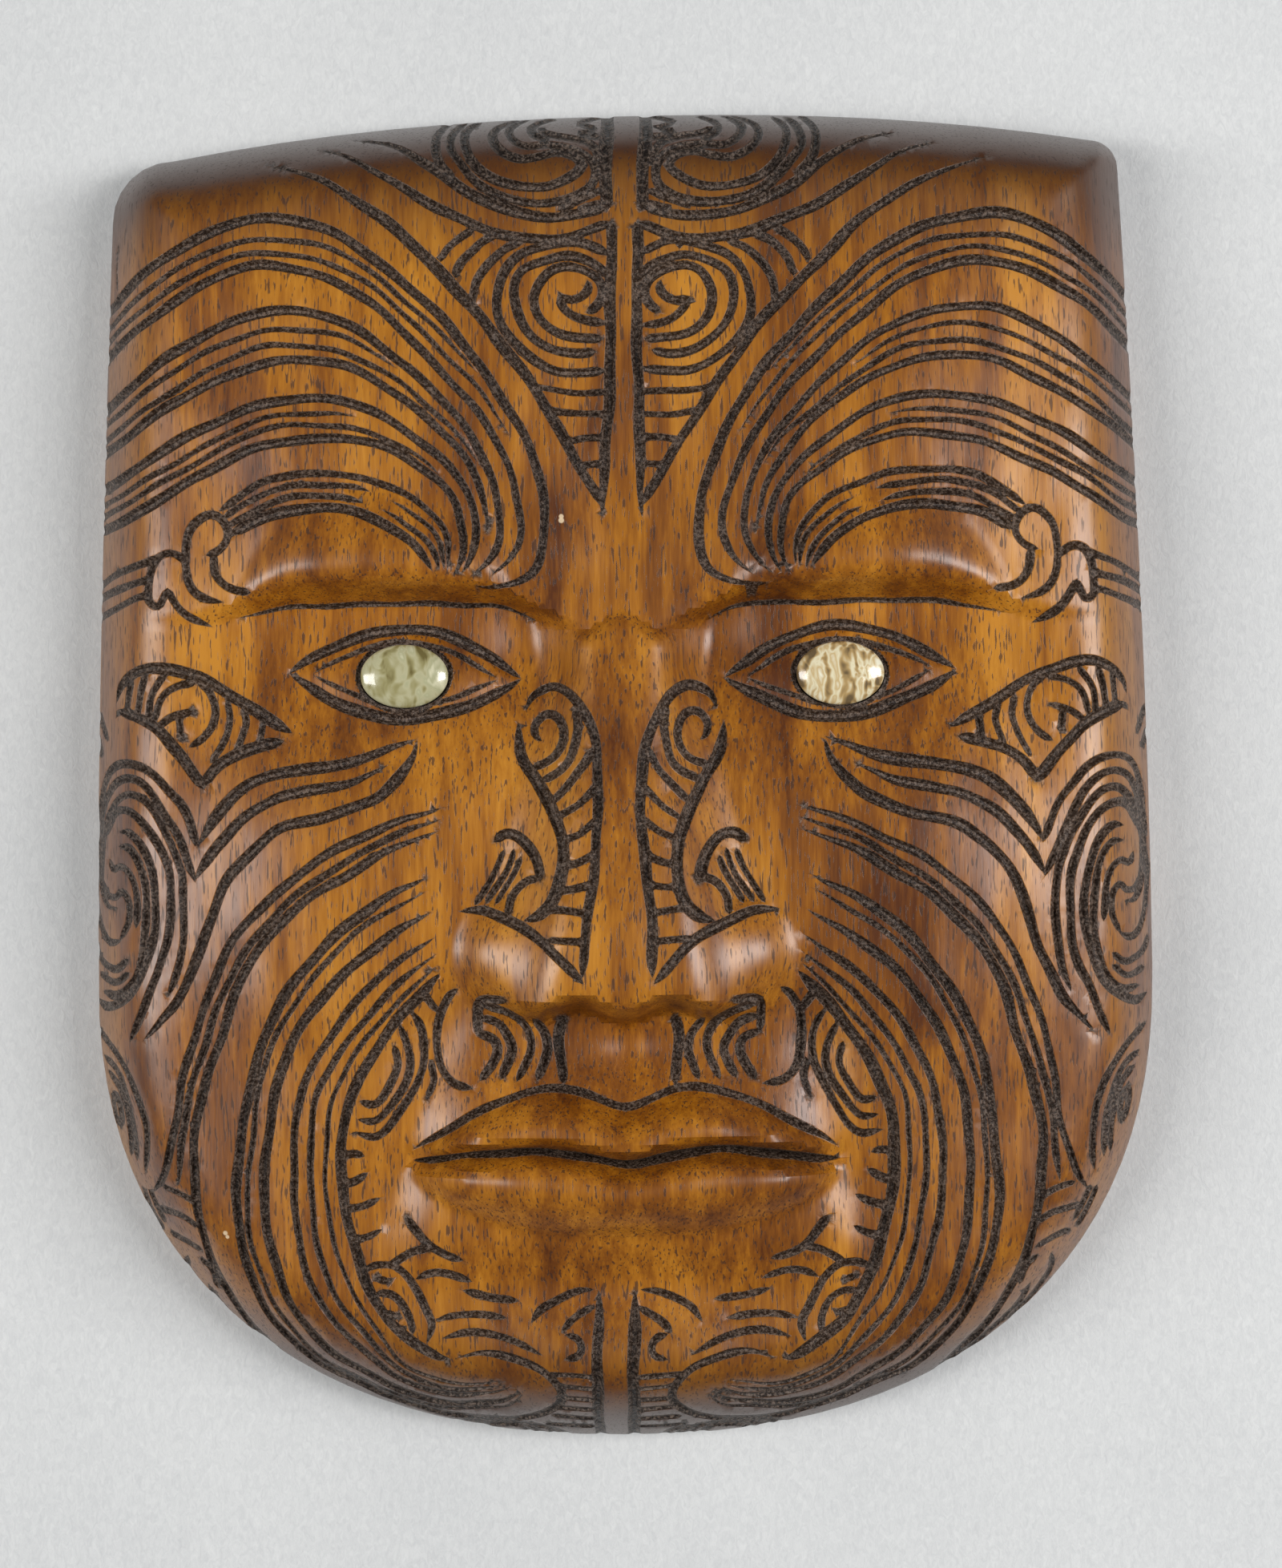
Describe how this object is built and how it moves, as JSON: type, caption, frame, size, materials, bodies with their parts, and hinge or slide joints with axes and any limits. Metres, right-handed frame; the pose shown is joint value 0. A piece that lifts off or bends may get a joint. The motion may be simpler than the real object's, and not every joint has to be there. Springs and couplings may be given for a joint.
{
  "type": "carved wood mask",
  "caption": "Flat-backed carved wood face mask with a bowed top and rounded jaw, covered in traditional curved line carving, with inlaid oval shell eyes.",
  "frame": {"origin": "middle of the flat back, at the board's half width and half height", "axes": "+Z out of the face, +Y up the face to the forehead, +X to the viewer's right; the mask lies on its back"},
  "size_m": [0.2238, 0.28, 0.045],
  "materials": {
    "wood": "oiled, soft gloss, dark in the cuts",
    "green_shell": "polished greenish-gold mother-of-pearl",
    "cream_shell": "polished cream and tan mother-of-pearl"
  },
  "bodies": {
    "root": {"mask_body": "wood", "eye_shell_left": "green_shell", "eye_shell_right": "cream_shell"}
  },
  "joints": []
}
